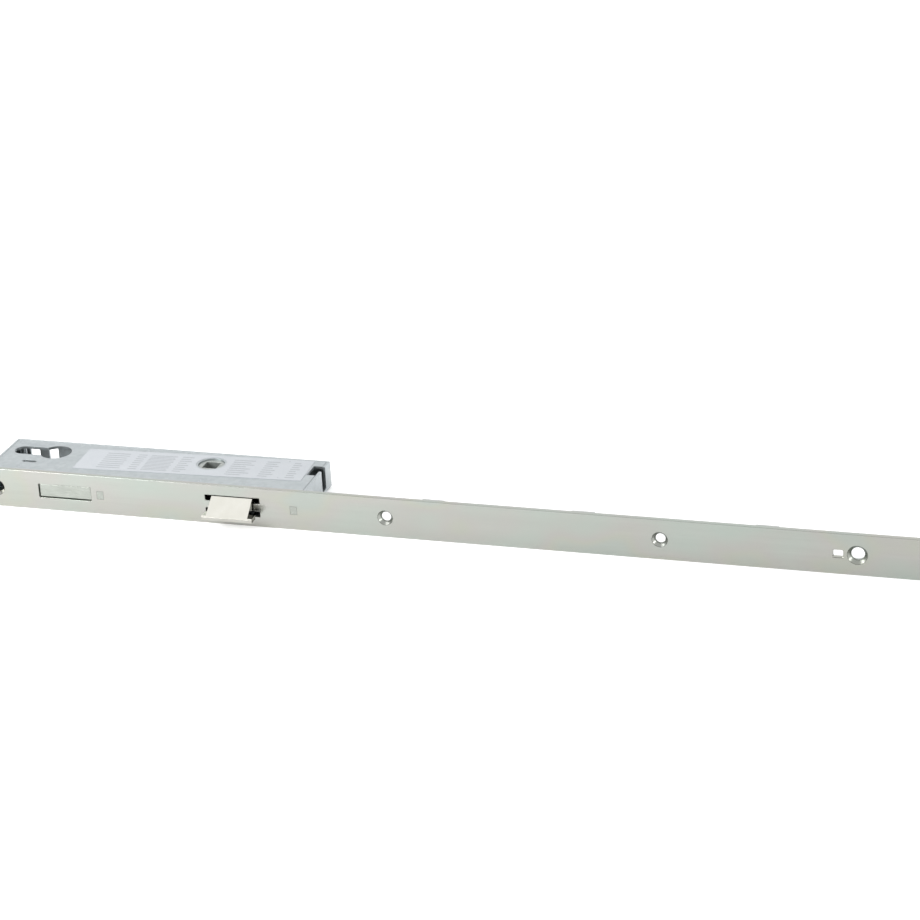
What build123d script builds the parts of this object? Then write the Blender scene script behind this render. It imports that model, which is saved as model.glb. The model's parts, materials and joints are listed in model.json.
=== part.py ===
from build123d import *
import math
import os

# Espagnolette lock for a narrow-stile door, lying as it is stored: +X runs up the door, -Y is the
# faceplate's front, +Z is the side of the case that carries the cover and its label.
# Origin: on the faceplate's front face, in the middle of its width, level with the handle spindle.
# All sizes are millimetres.

os.makedirs("parts", exist_ok=True)

# Faceplate
plate_width = 22.0
plate_thickness = 3.0
plate_below = 300.0
plate_above = 600.0
plate_corner = 2.0
bolt_play = 0.3

# Lock case, pressed from sheet
backset = 35.0
behind_axis = 15.0
case_sheet = 1.5
case_below = 122.0
case_above = 63.0
seam = 0.15
end_slot_start = 0.6
end_slot_width = 6.0
window_width = 5.7
window_centres = [-19.6, -8.3]
window_sill = 2.0
window_head = 1.9
cover_notch_length = 6.5
cover_notch_front = 5.0
cover_notch_back = 7.0
cover_slot_x = -9.6
cover_slot_y = -14.2
cover_slot_half = 3.0
cover_slot_radius = 1.2

# Handle spindle and cylinder
spindle_square = 8.0
square_play = 0.1
spindle_to_cylinder = 92.0
plug_radius = 8.5
cylinder_height = 33.0
tail_radius = 5.0
cylinder_play = 0.15
fixing_screw_drop = 20.2
fixing_screw_radius = 2.65
fixing_sink_radius = 4.5

# Handle follower
neck_radius = 7.2
neck_play = 0.05
neck_recess = 0.7
follower_radius = 12.0
arm_radius = 17.5
arm_swing = 35.0
arm_half_width = 1.6
arm_nose_radius = 3.0
arm_height = 7.0
hub_gap = 0.25
hub_cover_gap = 0.2

# Latch bolt
latch_x = 24.8
latch_width = 23.2
latch_projection = 10.0
latch_nose_height = 1.7
latch_wing = 2.6
latch_wing_depth = 6.0
latch_body = 6.0
latch_side_gap = 1.1
latch_edge = 0.5
ear_reach = 3.4
ear_height = 3.0
tail_rod_radius = 2.0
yoke_thickness = 4.0
yoke_height = 6.0
yoke_end = 2.5
yoke_hub_gap = 0.8
tail_socket = 5.0
guide_sheet = 1.5
guide_side = 6.0
guide_foot = 8.0
guide_arm_gap = 0.6

# Deadbolt
deadbolt_x = -72.1
deadbolt_width = 30.0
deadbolt_height = 7.3
deadbolt_recess = 1.0
deadbolt_depth = 22.5
deadbolt_throw = 14.0
deadbolt_edge = 0.2
peg_radius = 1.6
peg_inset = 2.0
peg_offset = 8.1
peg_play = 0.15
cheek_sheet = 1.3
cheek_short = 2.5

# Drive slide, its rack and the key gear
slide_thickness = 1.8
slide_gap = 0.15
level_gap = 0.4
clearance = 0.3
rivet_play = 0.03
over = 1.0
gear_module = 1.0
gear_teeth = 18
teeth_moved = 6
backlash = 0.25
pressure_angle = 20.0
addendum = 0.8
dedendum = 1.25
rack_web = 1.0
gear_x = -66.0
gear_y = 35.5
star_points = 6
star_radius = 12.6
star_valley = 8.6
star_height = 5.0
star_root_half = 0.3
star_tip_half = 0.13
axle_radius = 2.0
running_play = 0.06
lower_flange_length = 16.0
lower_flange_gap = 3.0
upper_flange_length = 14.0
upper_flange_gap = 5.0
flange_head = 1.0
slot_wall = 1.3
lobe_half = 5.0
strip_lap = 3.0
block_gap = 0.6

# Rods behind the faceplate
rod_width = 16.0
rod_thickness = 2.5
rod_gap = 0.3
rod_corner = 2.0
lower_rod_gap = 1.0
upper_rod_gap = 3.0
lower_rod_end = 266.0
upper_rod_end = 556.0
screw_slot_width = 8.0
rivet_radius = 2.0
rivet_head = 3.4
rivet_head_height = 0.8

# Locking cams on the rods
lower_cam = -240.0
upper_cam = 520.0
stud_radius = 3.0
cam_radius = 6.0
cam_flange = 7.4
cam_flange_height = 1.6
cam_height = 8.2
cam_collar = 1.5
cam_collar_height = 1.2
cam_washer_height = 0.45
cam_end_play = 0.15
cam_slot_play = 0.5
stud_head_height = 1.3
cam_bevel = 0.5

# Faceplate screws: distance from the spindle, all countersunk
small_screws = [-285.0, -170.0, 110.0, 256.0, 440.0, 585.0]
small_hole = 2.5
small_sink = 4.2
large_screw = 356.0
large_hole = 3.3
large_sink = 5.2
sink_lip = 0.3
peep_x = 346.3
peep_width = 5.0
peep_height = 4.0

# Rod guides, fixed behind the faceplate
lower_cam_guide = 35.0
middle_guides = [135.0, 215.0, 310.0]
upper_cam_guide = 44.0
guide_length = 12.0
guide_play = 0.15
guide_bend = 1.2

# Blocks that hold the case to the faceplate
end_block_inset = 3.8
middle_block = -51.3
block_width = 4.2
stake_width = 3.8
stake_height = 4.6
block_depth = 5.4

# Case posts and springs
post_radius = 2.0
post_end = 1.4
post_play = 0.1
post_wall_gap = 1.8
lower_post = 5.0
slot_post = 18.0
slot_post_depth = 4.0
front_post = 2.0
front_post_depth = 9.0
upper_post = 13.0
spring_gap = 0.05
seat_half = 5.0
seat_pin = 13.0
spring_wire = 0.9
return_spring_radius = 3.1
return_coils = 9
latch_spring_radius = 2.8
latch_coils = 8
detent_leaf = 0.6
detent_reach = 13.2
notch_depth = 1.2
notch_half = 1.6
leaf_foot = 3.0
leaf_rise = 1.6
leaf_bends = [(6.0, -7.0), (1.5, -1.4), (-1.5, -1.4), (-3.5, -3.2)]
label_length = 130.0
label_width = 26.6
label_thickness = 0.15
label_turn = 2.4
label_x = -9.4
label_y = 32.1
label_hub_gap = 1.2

# Levels across the thickness of the case
case_thickness = 2 * (case_sheet + slide_gap + slide_thickness + level_gap + deadbolt_height / 2)
case_top = case_thickness / 2
ceiling = case_top - case_sheet
floor = -ceiling
slide_low = floor + slide_gap
slide_high = slide_low + slide_thickness
latch_height = 2 * (ceiling - latch_side_gap)

# Places along the faceplate
lower_block = -case_below + end_block_inset
upper_block = case_above - end_block_inset
detent_x = upper_block - detent_reach
guide_places = [lower_cam + lower_cam_guide] + middle_guides + [upper_cam - upper_cam_guide]

# Levels across the depth of the lock
case_back = backset + behind_axis
inner_back = case_back - case_sheet
rod_front = plate_thickness + rod_gap
rod_back = rod_front + rod_thickness

# Motion
rod_travel = teeth_moved * math.pi * gear_module
gear_radius = gear_teeth * gear_module / 2
latch_travel = 2 * arm_radius * math.sin(math.radians(arm_swing / 2))
cylinder_x = -spindle_to_cylinder
tail_x = cylinder_x - (cylinder_height - plug_radius - tail_radius)

# Drive slide's outline
rack_line = gear_y - gear_radius
rack_root = rack_line - dedendum * gear_module
latch_rear = plate_thickness + latch_body
strip_front = latch_rear + latch_travel + clearance
strip_back = backset - neck_radius - peg_play - clearance
wide_front = plate_thickness + block_depth + block_gap
wide_back = rack_root - rack_web
wide_end = -follower_radius - rod_travel
peg_x = deadbolt_x + peg_offset
peg_y = deadbolt_depth - peg_inset
lower_flange_end = -case_below - rod_travel - lower_flange_gap
upper_flange_end = case_above + upper_flange_gap
lower_flange = (lower_flange_end - lower_flange_length, lower_flange_end)
upper_flange = (upper_flange_end, upper_flange_end + upper_flange_length)
flange_back = rod_back + slide_thickness
cam_back = -2 * cam_end_play - cam_washer_height
arm_rise = arm_radius * math.sin(math.radians(arm_swing / 2))
return_x = -arm_radius * math.cos(math.radians(arm_swing / 2))


def block(x, y, z):
    """A box between two values on each axis."""
    size = [span[1] - span[0] for span in (x, y, z)]
    middle = [(span[0] + span[1]) / 2 for span in (x, y, z)]
    return Pos(*middle) * Box(*size)


def upright(x, y, radius, low, high):
    """A round bar along Z."""
    return Pos(x, y, (low + high) / 2) * Cylinder(radius, high - low)


def across(x, z, radius, front, back):
    """A round bar along Y, through or behind the faceplate."""
    return Pos(x, (front + back) / 2, z) * Rot(X=90) * Cylinder(radius, back - front)


def sink(x, outer, inner, lip):
    """The cone of a 90 degree countersink that opens at the faceplate's front."""
    depth = outer - inner
    cone = Pos(x, lip + depth / 2, 0) * Rot(X=-90) * Cone(outer, inner, depth)
    return cone + across(x, 0, outer, -over, lip)


def outline(points, low, high):
    """A flat polygon in XY, given a thickness along Z."""
    face = make_face(Polyline(*points, close=True))
    return Pos(0, 0, low) * extrude(face, high - low)


def groove(x0, x1, z, width, front, back):
    """A round-ended slot along X, cut along Y."""
    middle = block((x0, x1), (front, back), (z - width / 2, z + width / 2))
    return middle + across(x0, z, width / 2, front, back) + across(x1, z, width / 2, front, back)


def cylinder_passage(play, low, high):
    """The profile of the key cylinder: a round plug and a narrow round-ended tail."""
    radius = tail_radius + play
    plug = upright(cylinder_x, backset, plug_radius + play, low, high)
    tail = upright(tail_x, backset, radius, low, high)
    web = block((tail_x, cylinder_x), (backset - radius, backset + radius), (low, high))
    return plug + tail + web


def coil(radius, wire, length, turns):
    """An open round-wire spring that stands on Z = 0."""
    pitch = (length - wire) / turns
    path = Helix(pitch, length - wire, radius, center=(0, 0, wire / 2))
    section = Plane(path @ 0, z_dir=path % 0) * Circle(wire / 2)
    return sweep(section, path=path, is_frenet=True)


def post_places():
    """Where the case posts stand."""
    stop_y = backset + arm_rise + arm_nose_radius + post_radius + clearance
    back_row = inner_back - post_radius - post_wall_gap
    return [
        (-case_below + lower_post, back_row),
        (-case_below + slot_post, wide_front + slot_post_depth),
        ((gear_x + return_x) / 2, back_row),
        (return_x, stop_y),
        (front_post, plate_thickness + front_post_depth),
        (case_above - upper_post, back_row),
    ]


def faceplate():
    plate = block((-plate_below, plate_above), (0, plate_thickness), (-plate_width / 2, plate_width / 2))
    plate = fillet(plate.edges().filter_by(Axis.Y), plate_corner)
    through = (-over, plate_thickness + over)
    half = latch_width / 2 + bolt_play
    high = latch_height / 2 + bolt_play
    plate -= block((latch_x - half, latch_x + half), through, (-high, high))
    ear = half + ear_reach
    for side in (1, -1):
        inner = high - ear_height
        span = (inner, high) if side > 0 else (-high, -inner)
        plate -= block((latch_x - ear, latch_x + ear), through, span)
    half = deadbolt_width / 2 + bolt_play
    high = deadbolt_height / 2 + bolt_play
    plate -= block((deadbolt_x - half, deadbolt_x + half), through, (-high, high))
    for x in (lower_block, middle_block, upper_block):
        half = stake_width / 2 + running_play
        high = stake_height / 2 + running_play
        plate -= block((x - half, x + half), through, (-high, high))
    x = cylinder_x - fixing_screw_drop
    plate -= across(x, 0, fixing_screw_radius, *through)
    plate -= sink(x, fixing_sink_radius, fixing_screw_radius, sink_lip)
    for x in small_screws:
        plate -= across(x, 0, small_hole, *through)
        plate -= sink(x, small_sink, small_hole, sink_lip)
    plate -= across(large_screw, 0, large_hole, *through)
    plate -= sink(large_screw, large_sink, large_hole, sink_lip)
    peep = (peep_x - peep_width / 2, peep_x + peep_width / 2)
    plate -= block(peep, through, (-peep_height / 2, peep_height / 2))
    for x in (lower_cam, upper_cam):
        plate -= groove(x, x + rod_travel, 0, 2 * (stud_radius + cam_slot_play), *through)
    return plate


def case_tray():
    """The case's bottom, with its back and end walls turned up from one sheet."""
    x = (-case_below, case_above)
    y = (plate_thickness, case_back)
    tray = block(x, y, (-case_top, case_top))
    inner_x = (-case_below + case_sheet, case_above - case_sheet)
    through = (-case_top - over, floor + over)
    tray -= block(inner_x, (plate_thickness - over, inner_back), (floor, case_top + over))
    tray -= upright(0, backset, neck_radius + neck_play, *through)
    tray -= cylinder_passage(cylinder_play, *through)
    for px, py in post_places() + [(gear_x, gear_y)]:
        tray -= upright(px, py, post_end + rivet_play, *through)
    lower_wall = (-case_below - over, inner_x[0] + over)
    upper_wall = (inner_x[1] - over, case_above + over)
    gate = (floor, slide_high + slide_gap)
    tray -= block(lower_wall, (wide_front - clearance, wide_back + clearance), gate)
    tray -= block(upper_wall, (strip_front - clearance, strip_back + clearance), gate)
    slot = (backset + end_slot_start, backset + end_slot_start + end_slot_width)
    tray -= block(upper_wall, slot, (floor + over, case_top + over))
    window = (floor + window_sill, ceiling - window_head)
    for centre in window_centres:
        middle = cylinder_x + centre
        span = (middle - window_width / 2, middle + window_width / 2)
        tray -= block(span, (inner_back - over, case_back + over), window)
    return tray


def case_cover():
    """The flat cover, which lies between the tray's turned-up walls."""
    x = (-case_below + case_sheet + seam, case_above - case_sheet - seam)
    cover = block(x, (plate_thickness, inner_back - seam), (ceiling, case_top))
    through = (ceiling - over, case_top + over)
    cover -= upright(0, backset, neck_radius + neck_play, *through)
    cover -= cylinder_passage(cylinder_play, *through)
    for px, py in post_places() + [(gear_x, gear_y)]:
        cover -= upright(px, py, post_end + rivet_play, *through)
    notch = (case_above - cover_notch_length, case_above)
    cover -= block(notch, (backset - cover_notch_front, backset + cover_notch_back), through)
    slot_y = backset + cover_slot_y
    left = cylinder_x + cover_slot_x - cover_slot_half
    right = left + 2 * cover_slot_half
    slot = block((left, right), (slot_y - cover_slot_radius, slot_y + cover_slot_radius), through)
    slot += upright(left, slot_y, cover_slot_radius, *through)
    slot += upright(right, slot_y, cover_slot_radius, *through)
    return cover - slot


def case_label():
    label = Pos(label_x, label_y, case_top + label_thickness / 2)
    label = label * Rot(Z=label_turn) * Box(label_length, label_width, label_thickness)
    return label - upright(0, backset, neck_radius + label_hub_gap, case_top - over, case_top + over)


def case_posts():
    posts = []
    for x, y in post_places():
        post = upright(x, y, post_radius, floor, ceiling)
        post += upright(x, y, post_end, -case_top, case_top)
        posts.append(post)
    return Compound(posts)


def stake_block(x):
    """Spacer between tray and cover, with a stub that is staked flush into the faceplate."""
    half = block_width / 2
    body = block((x - half, x + half), (plate_thickness, plate_thickness + block_depth), (floor, ceiling))
    stub = block(
        (x - stake_width / 2, x + stake_width / 2),
        (0, plate_thickness),
        (-stake_height / 2, stake_height / 2),
    )
    return body + stub


def latch_bolt():
    """The bevelled bolt: a closing door meets the slope on its +Z side. Its tip is widened by a
    wing at each end, which passes the faceplate's notched corners."""
    low = -latch_height / 2
    high = latch_height / 2
    profile = Polyline(
        (0, -latch_projection, low),
        (0, -latch_projection, low + latch_nose_height),
        (0, 0, high),
        (0, latch_rear, high),
        (0, latch_rear, low),
        close=True,
    )
    face = make_face(profile)
    bolt = Pos(latch_x - latch_width / 2, 0, 0) * extrude(face, latch_width, dir=(1, 0, 0))
    half = latch_width / 2 + latch_wing
    wings = Pos(latch_x - half, 0, 0) * extrude(face, 2 * half, dir=(1, 0, 0))
    tip = (-latch_projection, latch_wing_depth - latch_projection)
    wings &= block((latch_x - half, latch_x + half), tip, (low, low + ear_height - 2 * bolt_play))
    bolt += wings
    nose = bolt.edges().group_by(Axis.Y)[0]
    bolt = fillet(nose, latch_edge)
    socket = (latch_rear - tail_socket, latch_rear + over)
    return bolt - across(latch_x, 0, tail_rod_radius + rivet_play, *socket)


def latch_tail():
    """The rod behind the latch and the yoke that the follower's arm lifts."""
    yoke_y = backset - arm_rise + arm_nose_radius + clearance
    rod = across(latch_x, 0, tail_rod_radius, latch_rear - tail_socket, yoke_y)
    yoke = block(
        (follower_radius + yoke_hub_gap, latch_x + tail_rod_radius + yoke_end),
        (yoke_y, yoke_y + yoke_thickness),
        (-yoke_height / 2, yoke_height / 2),
    )
    return rod + yoke


def latch_guide():
    """The bent bracket that carries the latch rod and the foot of its spring."""
    left = arm_radius + arm_nose_radius + guide_arm_gap
    front = strip_back + clearance
    right = latch_x + guide_side
    wall = block((left, right), (front, front + guide_sheet), (floor, ceiling))
    foot = block((left, right), (front, front + guide_foot), (floor, floor + guide_sheet))
    through = (front - over, front + guide_sheet + over)
    return wall + foot - across(latch_x, 0, tail_rod_radius + running_play, *through)


def latch_spring():
    front = latch_rear + spring_gap
    length = strip_back + clearance - spring_gap - front
    spring = coil(latch_spring_radius, spring_wire, length, latch_coils)
    return Pos(latch_x, front, 0) * Rot(X=-90) * spring


def handle_follower():
    """The hub that the handle turns, with an arm to the latch and an arm to the return spring."""
    low = slide_high + hub_gap
    hub = upright(0, backset, follower_radius, low, ceiling - hub_cover_gap)
    neck_top = case_top - neck_recess
    hub += upright(0, backset, neck_radius, -neck_top, neck_top)
    for turn in (-arm_swing / 2, 180 - arm_swing / 2):
        arm = Pos(arm_radius / 2, 0, 0) * Box(arm_radius, 2 * arm_half_width, arm_height)
        arm += Pos(arm_radius, 0, 0) * Cylinder(arm_nose_radius, arm_height)
        hub += Pos(0, backset, 0) * Rot(Z=turn) * arm
    square = spindle_square + square_play
    return hub - Pos(0, backset, 0) * Box(square, square, case_thickness + 2 * over)


def return_seat():
    """Block and pin that hold the return spring behind the faceplate."""
    front = plate_thickness
    back = front + block_depth
    seat = block((return_x - seat_half, return_x + seat_half), (front, back), (floor, ceiling))
    return seat + across(return_x, 0, tail_rod_radius, back, back + seat_pin)


def return_spring():
    front = plate_thickness + block_depth + spring_gap
    back = backset + arm_rise - arm_nose_radius - spring_gap
    spring = coil(return_spring_radius, spring_wire, back - front, return_coils)
    return Pos(return_x, front, 0) * Rot(X=-90) * spring


def deadbolt():
    """The bolt that the key throws, with a peg that runs in the drive slide's slanted slot."""
    half = deadbolt_width / 2
    high = deadbolt_height / 2
    bolt = block((deadbolt_x - half, deadbolt_x + half), (deadbolt_recess, deadbolt_depth), (-high, high))
    bolt = chamfer(bolt.edges().group_by(Axis.Y)[0], deadbolt_edge)
    return bolt + upright(peg_x, peg_y, peg_radius, slide_low, -high)


def deadbolt_guide():
    """The channel under the cover that the deadbolt slides in."""
    half = deadbolt_width / 2 + bolt_play
    side = half + cheek_sheet
    high = deadbolt_height / 2
    y = (plate_thickness, deadbolt_depth - cheek_short)
    guide = block((deadbolt_x - side, deadbolt_x + side), y, (-high, ceiling))
    channel = (-high - over, high + bolt_play)
    return guide - block((deadbolt_x - half, deadbolt_x + half), (0, case_back), channel)


def rack_teeth():
    """Straight-sided teeth on the slide's back edge, in mesh with the key gear."""
    half_pitch = math.pi * gear_module / 2
    flank = math.tan(math.radians(pressure_angle))
    at_line = (half_pitch - backlash) / 2
    at_root = at_line + (rack_line - rack_root) * flank
    at_tip = at_line - addendum * gear_module * flank
    tip_y = rack_line + addendum * gear_module
    web_y = rack_root - rack_web / 2
    teeth = []
    for count in range(-teeth_moved, 2):
        x = gear_x + count * 2 * half_pitch
        points = [
            (x - at_root, web_y),
            (x - at_root, rack_root),
            (x - at_tip, tip_y),
            (x + at_tip, tip_y),
            (x + at_root, rack_root),
            (x + at_root, web_y),
        ]
        teeth.append(outline(points, slide_low, slide_high))
    return teeth


def drive_slide():
    """The flat slide in the case, with the rack, the bolt slot and a turned-up flange at each end."""
    points = [
        (lower_flange[0], rod_back),
        (lower_flange[1], rod_back),
        (lower_flange[1], wide_front),
        (wide_end, wide_front),
        (wide_end, strip_front),
        (upper_flange[0], strip_front),
        (upper_flange[0], rod_back),
        (upper_flange[1], rod_back),
        (upper_flange[1], strip_back),
        (wide_end - strip_lap, strip_back),
        (wide_end - strip_lap, wide_back),
        (lower_flange[0], wide_back),
    ]
    slide = outline(points, slide_low, slide_high)
    lobe_x = peg_x - rod_travel
    lobe_y = peg_y - deadbolt_throw
    lobe = (lobe_x - lobe_half, lobe_x + lobe_half)
    lobe_front = lobe_y - peg_radius - slot_wall
    slide += block(lobe, (lobe_front, wide_front + over), (slide_low, slide_high))
    pitch = math.pi * gear_module
    rack = (gear_x - (teeth_moved + 0.5) * pitch, gear_x + 1.5 * pitch)
    slide += block(rack, (wide_back - over, rack_root), (slide_low, slide_high))
    for tooth in rack_teeth():
        slide += tooth
    for span in (lower_flange, upper_flange):
        middle = (span[0] + span[1]) / 2
        slide += block(span, (rod_back, flange_back), (slide_low, ceiling - flange_head))
        slide -= across(middle, 0, rivet_radius + rivet_play, rod_back - over, flange_back + over)
    radius = peg_radius + peg_play
    angle = math.degrees(math.atan2(deadbolt_throw, rod_travel))
    run = math.hypot(deadbolt_throw, rod_travel)
    slot = Box(run, 2 * radius, 3 * slide_thickness)
    slot += Pos(run / 2, 0, 0) * Cylinder(radius, 3 * slide_thickness)
    slot += Pos(-run / 2, 0, 0) * Cylinder(radius, 3 * slide_thickness)
    middle = ((peg_x + lobe_x) / 2, (peg_y + lobe_y) / 2, slide_low + slide_thickness / 2)
    slide -= Pos(*middle) * Rot(Z=angle) * slot
    x, y = post_places()[1]
    run = (x - rod_travel, x)
    radius = post_radius + post_play
    through = (slide_low - over, slide_high + over)
    slot = block(run, (y - radius, y + radius), through)
    for end in run:
        slot += upright(end, y, radius, *through)
    slide -= slot
    for x in (detent_x, detent_x - rod_travel):
        left = x - notch_half
        right = x + notch_half
        outside = strip_front - over
        points = [(left, outside), (left, strip_front), (x, strip_front + notch_depth)]
        points += [(right, strip_front), (right, outside)]
        slide -= outline(points, *through)
    return slide


def detent_spring():
    """The bent leaf that holds the drive slide at each end of its travel."""
    foot = (upper_block - block_width / 2, plate_thickness + leaf_foot)
    bends = [(detent_x + x, strip_front + y) for x, y in leaf_bends]
    tip = (detent_x, strip_front + notch_depth - clearance)
    path = [foot] + bends[:2] + [tip] + bends[2:]
    lower = [(x, y - detent_leaf) for x, y in reversed(path)]
    return outline(path + lower, slide_low, slide_high + leaf_rise)


def gear_tooth_points(teeth, module, play):
    """Points round a spur gear whose flanks follow the involute of the pressure angle."""
    slope = math.radians(pressure_angle)
    pitch = teeth * module / 2
    base = pitch * math.cos(slope)
    root = pitch - dedendum * module
    tip = pitch + addendum * module
    half_tooth = (math.pi * module / 2 - play) / 2 / pitch + math.tan(slope) - slope
    flank = []
    for share in (0, 0.3, 0.65, 1):
        radius = base + (tip - base) * share
        roll = math.acos(base / radius)
        flank.append((radius, half_tooth - (math.tan(roll) - roll)))
    points = []
    for tooth in range(teeth):
        middle = 2 * math.pi * tooth / teeth
        polar = [(root, middle - flank[0][1])]
        polar += [(radius, middle - angle) for radius, angle in flank]
        polar += [(radius, middle + angle) for radius, angle in reversed(flank)]
        polar += [(root, middle + flank[0][1])]
        points += [(radius * math.cos(angle), radius * math.sin(angle)) for radius, angle in polar]
    return points


def key_gear():
    """The gear that the key's cam turns by its star, and that drives the slide by its teeth."""
    gap_turn = -90 + 180 / gear_teeth
    star_low = slide_high + hub_gap
    spur = outline(gear_tooth_points(gear_teeth, gear_module, backlash), slide_low, star_low)
    gear = Rot(Z=gap_turn) * spur
    corners = [(star_valley, -star_root_half), (star_radius, -star_tip_half)]
    corners += [(star_radius, star_tip_half), (star_valley, star_root_half)]
    star = []
    for point in range(star_points):
        middle = 2 * math.pi * point / star_points
        for radius, shift in corners:
            angle = middle + shift
            star.append((radius * math.cos(angle), radius * math.sin(angle)))
    gear += outline(star, star_low, star_low + star_height)
    gear -= Cylinder(axle_radius + running_play, 2 * case_thickness)
    return Pos(gear_x, gear_y, 0) * gear


def gear_axle():
    axle = upright(gear_x, gear_y, axle_radius, floor, ceiling)
    return axle + upright(gear_x, gear_y, post_end, -case_top, case_top)


def rod(start, end, screws, rivet_x, cam_x):
    """A flat drive rod behind the faceplate, slotted where screws pass through it."""
    half = rod_width / 2
    bar = block((start, end), (rod_front, rod_back), (-half, half))
    bar = fillet(bar.edges().filter_by(Axis.Y), rod_corner)
    through = (rod_front - over, rod_back + over)
    for x in screws:
        bar -= groove(x - rod_travel, x, 0, screw_slot_width, *through)
    bar -= across(rivet_x, 0, rivet_radius + rivet_play, *through)
    return bar - across(cam_x, 0, stud_radius + rivet_play, *through)


def coupling_rivet(x):
    """Joins a rod to the drive slide's flange, flush at the rod's front."""
    shank = across(x, 0, rivet_radius, rod_front, flange_back)
    return shank + across(x, 0, rivet_head, flange_back, flange_back + rivet_head_height)


def cam_stud(x):
    """Stud that carries a locking cam through its slot in the faceplate."""
    collar = stud_radius + cam_collar
    head_back = cam_back - cam_height - cam_end_play
    head_front = head_back - stud_head_height
    stud = across(x, 0, stud_radius, head_back, rod_back)
    stud += across(x, 0, collar, rod_back, rod_back + cam_collar_height)
    stud += across(x, 0, collar, -cam_end_play - cam_washer_height, -cam_end_play)
    head = across(x, 0, collar, head_front, head_back)
    return stud + chamfer(head.edges().group_by(Axis.Y)[0], cam_bevel)


def cam_roller(x):
    """Mushroom roller that turns on its stud and runs behind the keep."""
    front = cam_back - cam_height
    roller = across(x, 0, cam_radius, front, cam_back)
    flange = across(x, 0, cam_flange, front, front + cam_flange_height)
    roller += chamfer(flange.edges().group_by(Axis.Y)[0], cam_bevel)
    return roller - across(x, 0, stud_radius + running_play, front - over, 0)


def rod_guide(x):
    """Channel fixed behind the faceplate that keeps a rod against it."""
    span = (x - guide_length / 2, x + guide_length / 2)
    inner = rod_width / 2 + guide_play
    outer = inner + guide_sheet
    back = rod_back + guide_play
    guide = block(span, (plate_thickness, back + guide_sheet), (-outer, outer))
    guide = fillet(guide.edges().filter_by(Axis.X).group_by(Axis.Y)[-1], guide_bend)
    inside = (span[0] - over, span[1] + over)
    return guide - block(inside, (0, back), (-inner, inner))


lower_rivet = (lower_flange[0] + lower_flange[1]) / 2
upper_rivet = (upper_flange[0] + upper_flange[1]) / 2
lower_screws = [x for x in small_screws if -lower_rod_end < x < 0]
upper_screws = [x for x in small_screws if 0 < x < upper_rod_end]
lower_rod_start = -case_below - rod_travel - lower_rod_gap
upper_rod_start = case_above + upper_rod_gap

nodes = {
    "faceplate": faceplate(),
    "case_tray": case_tray(),
    "case_cover": case_cover(),
    "case_label": case_label(),
    "case_posts": case_posts(),
    "lower_stake_block": stake_block(lower_block),
    "middle_stake_block": stake_block(middle_block),
    "upper_stake_block": stake_block(upper_block),
    "latch_bolt": latch_bolt(),
    "latch_tail": latch_tail(),
    "latch_guide": latch_guide(),
    "latch_spring": latch_spring(),
    "handle_follower": handle_follower(),
    "return_spring_seat": return_seat(),
    "return_spring": return_spring(),
    "deadbolt": deadbolt(),
    "deadbolt_guide": deadbolt_guide(),
    "drive_slide": drive_slide(),
    "detent_spring": detent_spring(),
    "key_gear": key_gear(),
    "gear_axle": gear_axle(),
    "lower_rod": rod(-lower_rod_end, lower_rod_start, lower_screws, lower_rivet, lower_cam),
    "upper_rod": rod(upper_rod_start, upper_rod_end, upper_screws + [large_screw], upper_rivet, upper_cam),
    "lower_coupling_rivet": coupling_rivet(lower_rivet),
    "upper_coupling_rivet": coupling_rivet(upper_rivet),
    "lower_cam_stud": cam_stud(lower_cam),
    "upper_cam_stud": cam_stud(upper_cam),
    "lower_cam_roller": cam_roller(lower_cam),
    "upper_cam_roller": cam_roller(upper_cam),
}
for number, place in enumerate(guide_places, start=1):
    nodes[f"rod_guide_{number}"] = rod_guide(place)

for name, shape in nodes.items():
    export_step(shape, f"parts/{name}.step")
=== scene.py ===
import json
import math

import bmesh
import bpy
from mathutils import Matrix, Vector

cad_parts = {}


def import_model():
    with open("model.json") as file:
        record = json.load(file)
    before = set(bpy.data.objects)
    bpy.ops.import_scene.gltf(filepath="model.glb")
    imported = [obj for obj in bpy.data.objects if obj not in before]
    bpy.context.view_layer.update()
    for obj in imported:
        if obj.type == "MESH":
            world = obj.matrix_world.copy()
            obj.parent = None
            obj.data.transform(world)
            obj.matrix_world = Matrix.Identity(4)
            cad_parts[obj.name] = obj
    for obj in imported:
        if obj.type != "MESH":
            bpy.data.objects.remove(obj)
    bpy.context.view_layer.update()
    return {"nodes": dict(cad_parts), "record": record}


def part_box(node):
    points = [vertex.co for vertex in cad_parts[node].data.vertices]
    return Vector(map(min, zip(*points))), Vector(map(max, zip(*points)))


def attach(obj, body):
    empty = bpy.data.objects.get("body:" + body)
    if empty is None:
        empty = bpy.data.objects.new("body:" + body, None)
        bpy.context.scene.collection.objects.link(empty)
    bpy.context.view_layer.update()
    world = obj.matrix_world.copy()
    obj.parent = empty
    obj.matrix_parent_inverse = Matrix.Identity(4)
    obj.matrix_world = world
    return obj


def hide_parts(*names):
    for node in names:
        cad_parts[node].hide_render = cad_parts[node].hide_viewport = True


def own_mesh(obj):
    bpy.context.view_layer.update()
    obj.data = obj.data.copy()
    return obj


# The looks of an espagnolette lock that lies on its side: zinc-plated faceplate towards the
# camera, labelled case up. Metres throughout. MM turns a size in millimetres to metres.

MM = 0.001
# Two points of a mesh closer than this lie on the same plane.
SAME_PLANE = 0.01 * MM

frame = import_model()
nodes = frame["nodes"]
behaviour = frame["record"]["behaviour"]
body_of_node = {node: body for body, names in behaviour["bodies"].items() for node in names}
slot_of_node = {part["node"]: part["material_slot"] for part in frame["record"]["subparts"]}


# Colours and nodes


def colour(code):
    """A linear colour from an sRGB hex code."""
    parts = [int(code[i : i + 2], 16) / 255 for i in (1, 3, 5)]
    linear = [c / 12.92 if c <= 0.04045 else ((c + 0.055) / 1.055) ** 2.4 for c in parts]
    return (*linear, 1.0)


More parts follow.
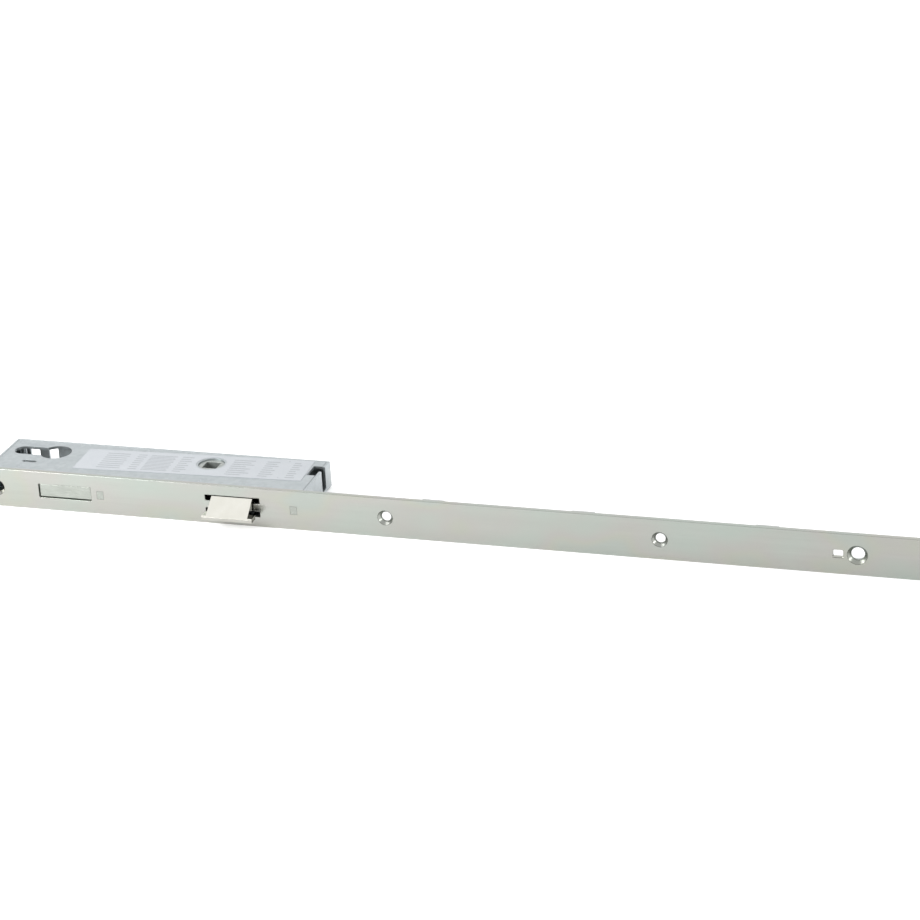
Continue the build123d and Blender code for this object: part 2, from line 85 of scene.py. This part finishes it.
def add(tree, kind, links=None, **settings):
    """Adds a node. Settings name its properties or inputs. Links gives an output for an input."""
    node = tree.nodes.new(kind)
    for name, value in settings.items():
        if hasattr(node, name):
            setattr(node, name, value)
        else:
            node.inputs[name.replace("_", " ")].default_value = value
    for name, output in (links or {}).items():
        tree.links.new(output, node.inputs[name])
    return node


def start(name, metallic):
    """A material with one shader, and the place on the object, in millimetres, for its patterns."""
    material = bpy.data.materials.new(name)
    material.use_nodes = True
    tree = material.node_tree
    shader = tree.nodes["Principled BSDF"]
    shader.inputs["Metallic"].default_value = metallic
    place = add(tree, "ShaderNodeTexCoord")
    links = {0: place.outputs["Object"]}
    in_mm = add(tree, "ShaderNodeVectorMath", links, operation="SCALE", Scale=1 / MM)
    return material, tree, shader, in_mm.outputs["Vector"]


def noise(tree, vector, size, stretch=(1, 1, 1), detail=3.0, turn=0.0):
    """Noise with features about size millimetres across, drawn out by stretch along each axis."""
    scale = [1 / (size * s) for s in stretch]
    mapping = add(tree, "ShaderNodeMapping", {"Vector": vector})
    mapping.inputs["Scale"].default_value = scale
    mapping.inputs["Rotation"].default_value = (0, 0, turn)
    links = {"Vector": mapping.outputs["Vector"]}
    return add(tree, "ShaderNodeTexNoise", links, Scale=1.0, Detail=detail).outputs["Fac"]


def ranged(tree, value, low, high, source=(0.3, 0.7)):
    """Noise mapped to between two values."""
    made = add(tree, "ShaderNodeMapRange", {"Value": value}, From_Min=source[0], From_Max=source[1])
    made.inputs["To Min"].default_value = low
    made.inputs["To Max"].default_value = high
    return made.outputs["Result"]


def mixed(tree, factor, first, second):
    """Two colours mixed. Each is a hex code or an output. The factor is a number or an output."""
    made = add(tree, "ShaderNodeMix", data_type="RGBA")
    # The node has sockets for every type of data. These numbers are those of the colours.
    for number, given in ((0, factor), (6, first), (7, second)):
        socket = made.inputs[number]
        if isinstance(given, str):
            socket.default_value = colour(given)
        elif isinstance(given, (int, float)):
            socket.default_value = given
        else:
            tree.links.new(given, socket)
    return made.outputs[2]


def rough_bump(tree, shader, height, depth_mm):
    """Bump from a height of 0 to 1, of a real depth in millimetres."""
    made = add(tree, "ShaderNodeBump", {"Height": height}, Strength=1.0, Distance=depth_mm * MM)
    tree.links.new(made.outputs["Normal"], shader.inputs["Normal"])


# Materials


def passivated_strip():
    """Cold-rolled steel strip, bright zinc plate, clear passivation: long rolling lines under a
    skin that shows faint green, rose and straw tints. The real lines are finer than 0.1 mm, and
    are drawn 0.45 mm wide so that they show."""
    material, tree, shader, mm = start("zinc_passivated_strip", 1.0)
    lines = noise(tree, mm, 0.45, (160, 1, 1), 3.0)
    clouds = noise(tree, mm, 18.0, (4, 1, 0.5), 2.0)
    tint = noise(tree, mm, 26.0, (1.6, 1, 1), 1.0)
    ramp = add(tree, "ShaderNodeValToRGB", {"Fac": tint})
    stops = [
        (0.32, "#9faaa3"),
        (0.45, "#a4a6a1"),
        (0.55, "#a8a19f"),
        (0.62, "#a6a498"),
        (0.72, "#9ea5a0"),
    ]
    while len(ramp.color_ramp.elements) < len(stops):
        ramp.color_ramp.elements.new(0.5)
    for element, (place, code) in zip(ramp.color_ramp.elements, stops):
        element.position = place
        element.color = colour(code)
    base = mixed(tree, 0.45, "#a0a49e", ramp.outputs["Color"])
    base = mixed(tree, ranged(tree, clouds, 0.0, 0.12), base, "#8b9088")
    base = mixed(tree, ranged(tree, lines, 0.0, 0.07), base, "#80847d")
    tree.links.new(base, shader.inputs["Base Color"])
    tree.links.new(ranged(tree, lines, 0.20, 0.27), shader.inputs["Roughness"])
    rough_bump(tree, shader, lines, 0.0015)
    return material


def galvanised_sheet():
    """Hot-dip galvanised sheet, bent and stamped: cool grey, a fine, soft spangle, light scuffs."""
    material, tree, shader, mm = start("galvanised_sheet", 1.0)
    spangle = add(tree, "ShaderNodeTexVoronoi", {"Vector": mm}, Scale=1 / 2.4, feature="F1")
    grey = add(tree, "ShaderNodeRGBToBW", {"Color": spangle.outputs["Color"]})
    clouds = noise(tree, mm, 18.0, (1.5, 1, 1), 3.0)
    scuffs = noise(tree, mm, 0.7, (14, 1, 1), 5.0, turn=0.25)
    base = mixed(tree, ranged(tree, grey.outputs["Val"], 0.0, 0.16, (0, 1)), "#b2b8ba", "#989fa1")
    base = mixed(tree, ranged(tree, clouds, 0.0, 0.3), base, "#9fa6a9")
    base = mixed(tree, ranged(tree, scuffs, 0.0, 0.22, (0.5, 0.75)), base, "#ccd0d3")
    tree.links.new(base, shader.inputs["Base Color"])
    roughness = ranged(tree, grey.outputs["Val"], 0.36, 0.52, (0, 1))
    tree.links.new(roughness, shader.inputs["Roughness"])
    rough_bump(tree, shader, scuffs, 0.005)
    return material


def plated_steel(name, base, dark, roughness, grain, stretch):
    """Machined or drawn steel with zinc plate: fine tool marks and a slightly clouded grey. The
    grain is the marks' size in millimetres, drawn out by stretch along each axis, and coarser
    than real marks so that they show."""
    material, tree, shader, mm = start(name, 1.0)
    marks = noise(tree, mm, grain, stretch, 4.0)
    clouds = noise(tree, mm, 5.0, (1, 1, 1), 2.0)
    tone = mixed(tree, ranged(tree, marks, 0.0, 0.35), base, dark)
    tone = mixed(tree, ranged(tree, clouds, 0.0, 0.25), tone, dark)
    tree.links.new(tone, shader.inputs["Base Color"])
    spread = ranged(tree, marks, roughness - 0.06, roughness + 0.08)
    tree.links.new(spread, shader.inputs["Roughness"])
    rough_bump(tree, shader, marks, 0.006)
    return material


def nickel_latch():
    """Die-cast zinc, tumbled and bright nickel plated: nearly white, with a soft satin grain."""
    material, tree, shader, mm = start("nickel_plated_casting", 1.0)
    grain = noise(tree, mm, 0.6, (1, 1, 1), 3.0)
    clouds = noise(tree, mm, 6.0, (1, 1, 1), 2.0)
    tone = mixed(tree, ranged(tree, clouds, 0.0, 0.3), "#a7a6a0", "#9a9991")
    tree.links.new(tone, shader.inputs["Base Color"])
    tree.links.new(ranged(tree, grain, 0.09, 0.16), shader.inputs["Roughness"])
    rough_bump(tree, shader, grain, 0.003)
    return material


def cast_zinc():
    """Die-cast zinc as it leaves the mould: dull, slightly pebbled, darker in its hollows."""
    material, tree, shader, mm = start("die_cast_zinc", 1.0)
    grain = noise(tree, mm, 0.9, (1, 1, 1), 5.0)
    tone = mixed(tree, ranged(tree, grain, 0.0, 0.6), "#b2b6b3", "#8b908d")
    tree.links.new(tone, shader.inputs["Base Color"])
    tree.links.new(ranged(tree, grain, 0.42, 0.6), shader.inputs["Roughness"])
    rough_bump(tree, shader, grain, 0.03)
    return material


def spring_wire():
    """Patented drawn spring wire: dark grey, shiny along its length."""
    material, tree, shader, mm = start("drawn_spring_wire", 1.0)
    marks = noise(tree, mm, 0.4, (1, 1, 1), 4.0)
    tone = mixed(tree, ranged(tree, marks, 0.0, 0.6), "#9fa1a2", "#5f6162")
    tree.links.new(tone, shader.inputs["Base Color"])
    tree.links.new(ranged(tree, marks, 0.24, 0.4), shader.inputs["Roughness"])
    return material


def label_paper():
    """Coated white paper: slightly cloudy and fibrous, with a low sheen."""
    material, tree, shader, mm = start("coated_label_paper", 0.0)
    fibres = noise(tree, mm, 0.5, (1, 1, 1), 4.0)
    clouds = noise(tree, mm, 9.0, (1, 1, 1), 2.0)
    tone = mixed(tree, ranged(tree, clouds, 0.0, 0.4), "#aeb2b6", "#a4a9ae")
    tone = mixed(tree, ranged(tree, fibres, 0.0, 0.12), tone, "#8f949c")
    tree.links.new(tone, shader.inputs["Base Color"])
    tree.links.new(ranged(tree, fibres, 0.36, 0.5), shader.inputs["Roughness"])
    rough_bump(tree, shader, fibres, 0.01)
    return material


def printing_ink():
    """Thin grey ink on the label: matt, a little uneven."""
    material, tree, shader, mm = start("grey_printing_ink", 0.0)
    shader.inputs["Roughness"].default_value = 0.55
    patch = noise(tree, mm, 0.8, (1, 1, 1), 3.0)
    tone = mixed(tree, ranged(tree, patch, 0.0, 0.7), "#8d9195", "#9fa3a7")
    tree.links.new(tone, shader.inputs["Base Color"])
    return material


strip = passivated_strip()
sheet = galvanised_sheet()
paper = label_paper()
ink = printing_ink()
latch_plate = nickel_latch()
casting = cast_zinc()
wire = spring_wire()
turned = plated_steel("turned_plated_steel", "#b4babd", "#8d9396", 0.3, 0.35, (1, 8, 1))
peened = plated_steel("peened_stake_steel", "#9da19b", "#868a84", 0.3, 0.8, (1, 1, 1))
drawn = plated_steel("zinc_plated_strip", "#c3c7c5", "#8f9391", 0.36, 0.4, (25, 1, 1))
plain = plated_steel("bent_plain_sheet", "#b9bcbb", "#878a89", 0.4, 0.4, (10, 1, 1))
ground = plated_steel("ground_deadbolt_steel", "#a4a8a2", "#80847d", 0.28, 0.3, (20, 1, 1))
sintered = plated_steel("sintered_gear_steel", "#8e9190", "#5d605f", 0.45, 0.5, (1, 1, 1))

finish_of_slot = {
    "plated_faceplate": strip,
    "plated_stakes": peened,
    "plated_case_sheet": sheet,
    "label_paper": paper,
    "turned_steel": turned,
    "latch_metal": latch_plate,
    "inner_sheet": plain,
    "spring_wire": wire,
    "cast_follower": casting,
    "deadbolt_steel": ground,
    "drive_steel": drawn,
    "cast_gear": sintered,
    "cam_steel": turned,
}


def paint(piece, material):
    """Gives a piece one material in place of those it has."""
    piece.data.materials.clear()
    piece.data.materials.append(material)


for name, node in nodes.items():
    paint(node, finish_of_slot[slot_of_node[name]])


# Real edges

# The radius that each piece's sharp edges are broken by.
edge_radius_mm = {
    "faceplate": 0.5,
    "case_tray": 0.2,
    "case_cover": 0.08,
    "latch_bolt": 0.15,
    "latch_tail": 0.3,
    "latch_guide": 0.2,
    "handle_follower": 0.3,
    "return_spring_seat": 0.3,
    "deadbolt": 0.1,
    "deadbolt_guide": 0.15,
    "drive_slide": 0.12,
    "gear_axle": 0.2,
    "case_posts": 0.2,
    "lower_rod": 0.2,
    "upper_rod": 0.2,
    "lower_coupling_rivet": 0.25,
    "upper_coupling_rivet": 0.25,
    "lower_cam_stud": 0.15,
    "upper_cam_stud": 0.15,
    "lower_cam_roller": 0.25,
    "upper_cam_roller": 0.25,
    "lower_stake_block": 0.05,
    "middle_stake_block": 0.05,
    "upper_stake_block": 0.05,
}
rod_guide_radius_mm = 0.2
for name in sorted(nodes):
    if name.startswith("rod_guide"):
        edge_radius_mm[name] = rod_guide_radius_mm
edge_segments = 2
tray_bend_mm = 1.1
bend_segments = 5
nose_radius_mm = 0.5

# Faces that meet at more than the sharp angle get a broken edge. Sharp edges that turn by less than
# the smooth turn are one curved rim. A broken edge takes at most the room share of its neighbours.
sharp_angle = math.radians(40)
smooth_turn = math.radians(30)
room_share = 0.42
shading_angle = math.radians(32)
# Points closer than this are one point, and faces that turn by less than this are one face.
same_point = 0.002 * MM
same_face = math.radians(1.0)
no_length = 0.001 * MM

# The part of the radius that some edges get. The faceplate's sheared long edges are sharper than
# the rims of its pierced openings, and the holes that the stakes are peened into are sharper still.
whole_share = 1.0
sheared_share = 0.5
peened_share = 0.12
faceplate_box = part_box("faceplate")
stake_boxes = [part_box(name) for name in nodes if name.endswith("stake_block")]
latch_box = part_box("latch_bolt")


def select_only(piece):
    """Selects a piece alone and makes it the one that operators work on."""
    bpy.ops.object.select_all(action="DESELECT")
    piece.select_set(True)
    bpy.context.view_layer.objects.active = piece


def round_bends(piece):
    """Rounds the outside of the tray's bends, where its back and end walls leave the bottom."""
    points = [v.co for v in piece.data.vertices]
    low = Vector(min(p[axis] for p in points) for axis in range(3))
    high = Vector(max(p[axis] for p in points) for axis in range(3))
    sides = ((0, low.x), (0, high.x), (1, high.y))
    bpy.ops.object.mode_set(mode="EDIT")
    bpy.ops.mesh.select_mode(type="EDGE")
    bpy.ops.mesh.select_all(action="DESELECT")
    shape = bmesh.from_edit_mesh(piece.data)
    for edge in shape.edges:
        ends = [v.co for v in edge.verts]
        at_bottom = all(abs(p.z - low.z) < SAME_PLANE for p in ends)
        at_side = any(all(abs(p[axis] - side) < SAME_PLANE for p in ends) for axis, side in sides)
        edge.select = at_bottom and at_side
    bmesh.update_edit_mesh(piece.data)
    bpy.ops.mesh.bevel(offset=tray_bend_mm * MM, segments=bend_segments, affect="EDGES")
    bpy.ops.mesh.select_mode(type="VERT")
    bpy.ops.object.mode_set(mode="OBJECT")


def faceplate_share(points):
    """The part of the radius that an edge of the faceplate gets."""
    if any(all(abs(p.z - corner.z) < SAME_PLANE for p in points) for corner in faceplate_box):
        return sheared_share
    for low, high in stake_boxes:
        if all(abs(p.x - (low.x + high.x) / 2) < high.x - low.x for p in points):
            return peened_share
    return whole_share


def latch_share(points):
    """The part of the radius that an edge of the latch gets: none on its nose, which is round."""
    nose_back = latch_box[0].y + nose_radius_mm * MM
    return 0.0 if all(p.y < nose_back + SAME_PLANE for p in points) else whole_share


share_of_edge = {"faceplate": faceplate_share, "latch_bolt": latch_share}


def weigh_edges(piece, node, radius):
    """Marks each sharp edge with the share of the radius that its neighbours have room for."""
    shape = bmesh.new()
    shape.from_mesh(piece.data)
    joined = [edge for edge in shape.edges if len(edge.link_faces) == 2]
    sharp = {edge.index for edge in joined if edge.calc_face_angle() > sharp_angle}
    shares = [0.0] * len(shape.edges)
    for edge in shape.edges:
        if edge.index not in sharp:
            continue
        room = radius
        if node in share_of_edge:
            room = radius * share_of_edge[node]([v.co for v in edge.verts])
        for point in edge.verts:
            along = edge.other_vert(point).co - point.co
            for other in point.link_edges:
                turn = math.pi - along.angle(other.other_vert(point).co - point.co)
                if other == edge or (other.index in sharp and turn < smooth_turn):
                    continue
                room = min(room, room_share * other.calc_length())
        shares[edge.index] = room / radius
    shape.free()
    marks = piece.data.attributes.new("bevel_weight_edge", "FLOAT", "EDGE")
    marks.data.foreach_set("value", shares)


def ease(node, radius_mm):
    """Makes the copy that stands for a node, with its sharp edges broken by a small real radius.
    Its flat faces keep their own normals, so no edge throws a false shade over them."""
    source = nodes[node]
    piece = bpy.data.objects.new(node + "_finished", source.data.copy())
    bpy.context.scene.collection.objects.link(piece)
    select_only(piece)
    bpy.ops.mesh.customdata_custom_splitnormals_clear()
    bpy.ops.object.mode_set(mode="EDIT")
    bpy.ops.mesh.select_all(action="SELECT")
    bpy.ops.mesh.remove_doubles(threshold=same_point)
    bpy.ops.mesh.dissolve_limited(angle_limit=same_face)
    bpy.ops.object.mode_set(mode="OBJECT")
    if node == "case_tray":
        round_bends(piece)
    weigh_edges(piece, node, radius_mm * MM)
    bevel = piece.modifiers.new("broken_edges", "BEVEL")
    bevel.width = radius_mm * MM
    bevel.segments = edge_segments
    bevel.limit_method = "WEIGHT"
    bevel.use_clamp_overlap = False
    bevel.loop_slide = False
    bpy.ops.object.modifier_apply(modifier=bevel.name)
    bpy.ops.object.mode_set(mode="EDIT")
    bpy.ops.mesh.select_all(action="SELECT")
    bpy.ops.mesh.dissolve_degenerate(threshold=no_length)
    bpy.ops.object.mode_set(mode="OBJECT")
    bpy.ops.object.shade_smooth_by_angle(angle=shading_angle)
    weighted = piece.modifiers.new("flat_faces_stay_flat", "WEIGHTED_NORMAL")
    weighted.keep_sharp = True
    bpy.ops.object.modifier_apply(modifier=weighted.name)
    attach(piece, body_of_node[node])
    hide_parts(node)


for name, radius_mm in edge_radius_mm.items():
    ease(name, radius_mm)


# Coil springs

# The end of each spring that stays where it is: the one towards the faceplate, or the other one.
FRONT, BACK = 0, 1
fixed_end_of_spring = {"return_spring": FRONT, "latch_spring": BACK}


def coil_spring(node):
    """Makes the copy that stands for a coil spring."""
    piece = bpy.data.objects.new(node + "_wound", nodes[node].data.copy())
    bpy.context.scene.collection.objects.link(piece)
    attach(piece, body_of_node[node])
    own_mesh(piece)
    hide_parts(node)


for name, fixed_end in fixed_end_of_spring.items():
    coil_spring(name)


# The label's blank form

# Columns in millimetres from the label's lower left corner: start, end, lowest row, pitch,
# thickness and rows.
form_columns = [
    (12.5, 26.0, 3.2, 2.7, 0.9, 8),
    (30.5, 35.5, 3.2, 2.7, 0.9, 8),
    (38.0, 53.0, 3.0, 1.9, 0.8, 11),
    (56.0, 64.0, 3.2, 2.7, 0.9, 8),
    (86.0, 100.5, 3.2, 2.7, 0.9, 8),
    (104.5, 113.5, 3.2, 2.7, 0.9, 8),
    (116.2, 117.0, 2.6, 21.5, 0.9, 2),
    (120.0, 126.0, 3.2, 2.7, 0.9, 8),
]
# The share of its column that each line fills, taken in turn.
filled_share = (1.0, 0.82, 0.94, 0.6, 1.0, 0.88, 0.97, 0.7)
ink_thickness_mm = 0.02


def label_form():
    """A blank form on the label: ruled grey lines in columns."""
    label = nodes["case_label"].data.vertices
    top = max(v.co.z for v in label)
    points = [v.co for v in label if v.co.z > top - SAME_PLANE]
    near_left = min(points, key=lambda p: p.y)
    near_right = max(points, key=lambda p: p.x)
    turn = math.atan2(near_right.y - near_left.y, near_right.x - near_left.x)
    along = Vector((math.cos(turn), math.sin(turn), 0))
    across = Vector((-math.sin(turn), math.cos(turn), 0))
    lines = []
    for first, last, lowest, pitch, thickness, rows in form_columns:
        for row in range(rows):
            length = (last - first) * filled_share[(row + len(lines)) % len(filled_share)]
            middle = near_left + along * (first + length / 2) * MM
            middle += across * (lowest + row * pitch) * MM
            bpy.ops.mesh.primitive_plane_add(size=1, location=middle, rotation=(0, 0, turn))
            line = bpy.context.active_object
            line.scale = (length * MM, thickness * MM, 1)
            lines.append(line)
    bpy.ops.object.select_all(action="DESELECT")
    for line in lines:
        line.select_set(True)
    bpy.context.view_layer.objects.active = lines[0]
    bpy.ops.object.join()
    form = bpy.context.active_object
    form.name = "label_form"
    bpy.ops.object.transform_apply(location=True, rotation=True, scale=True)
    coat = form.modifiers.new("ink", "SOLIDIFY")
    coat.thickness = ink_thickness_mm * MM
    coat.offset = 1.0
    bpy.ops.object.modifier_apply(modifier=coat.name)
    paint(form, ink)
    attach(form, "case")


label_form()


# Camera, light and floor

# The camera's place and axes, fitted to the faceplate's and the case's edges.
camera_place = Vector((0.526013, -1.183694, 0.565265))
camera_right = Vector((0.958409, 0.281527, -0.046847))
camera_down = Vector((0.069315, -0.388843, -0.918693))
camera_forward = Vector((-0.276853, 0.877236, -0.392185))
focal_px = 2640.0
picture_px = 920.0
sensor_mm = 36.0
nearest_seen = 0.01

table_size = 16
table_gap = 0.1 * MM
table_glow = 0.3
world_strength = 0.95


def camera():
    """The camera that takes the photograph's view."""
    data = bpy.data.cameras.new("photo_view")
    data.sensor_fit = "HORIZONTAL"
    data.sensor_width = sensor_mm
    data.lens = focal_px / picture_px * sensor_mm
    data.clip_start = nearest_seen
    made = bpy.data.objects.new("photo_view", data)
    bpy.context.scene.collection.objects.link(made)
    turn = Matrix((camera_right, -camera_down, -camera_forward)).transposed().to_4x4()
    made.matrix_world = Matrix.Translation(camera_place) @ turn
    bpy.context.scene.camera = made


def area_light(name, place, target, size, power):
    """A white softbox that faces its target."""
    data = bpy.data.lights.new(name, "AREA")
    data.shape = "RECTANGLE"
    data.size, data.size_y = size
    data.energy = power
    made = bpy.data.objects.new(name, data)
    bpy.context.scene.collection.objects.link(made)
    made.location = place
    aim = Vector(target) - Vector(place)
    made.rotation_euler = aim.to_track_quat("-Z", "Y").to_euler()


def floor():
    """A light table, as studios use for small metal goods. The faceplate's lower edge and the
    case's lower back edge both rest on it."""
    front_low = faceplate_box[0].z
    case_low, case_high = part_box("case_tray")
    tilt = math.atan2(case_low.z - front_low, case_high.y)
    bpy.ops.mesh.primitive_plane_add(size=1, location=(0, 0, 0))
    table = bpy.context.active_object
    table.name = "floor"
    table.scale = (table_size, table_size, 1)
    table.rotation_euler = (tilt, 0, 0)
    table.location = (0, 0, front_low - table_gap)
    material, tree, shader, mm = start("opal_light_table", 0.0)
    shader.inputs["Roughness"].default_value = 0.9
    shader.inputs["Specular IOR Level"].default_value = 0.1
    shader.inputs["Emission Color"].default_value = colour("#ffffff")
    shader.inputs["Emission Strength"].default_value = table_glow
    soft = noise(tree, mm, 700.0)
    tone = mixed(tree, ranged(tree, soft, 0.0, 0.4), "#f6f6f6", "#f0f0f0")
    tree.links.new(tone, shader.inputs["Base Color"])
    paint(table, material)


def world():
    """Even white light from all round."""
    made = bpy.data.worlds.new("studio")
    bpy.context.scene.world = made
    made.use_nodes = True
    background = made.node_tree.nodes["Background"]
    background.inputs["Color"].default_value = (1, 1, 1, 1)
    background.inputs["Strength"].default_value = world_strength


camera()
world()
floor()
area_light("key_light", (-0.45, -0.5, 0.35), (0.1, 0, 0), (0.4, 0.4), 5.5)
area_light("right_softbox", (1.6, -0.65, 0.45), (0.2, 0, 0), (0.55, 0.55), 2.9)
area_light("backdrop_panel", (-0.6, 1.7, 0.9), (0, 0, 0), (2.6, 1.4), 4.4)
area_light("overhead_softbox", (-0.125, -0.12, 0.38), (0.02, 0, 0), (0.3, 0.3), 0.37)

scene = bpy.context.scene
scene.view_settings.view_transform = "Standard"
scene.view_settings.look = "None"
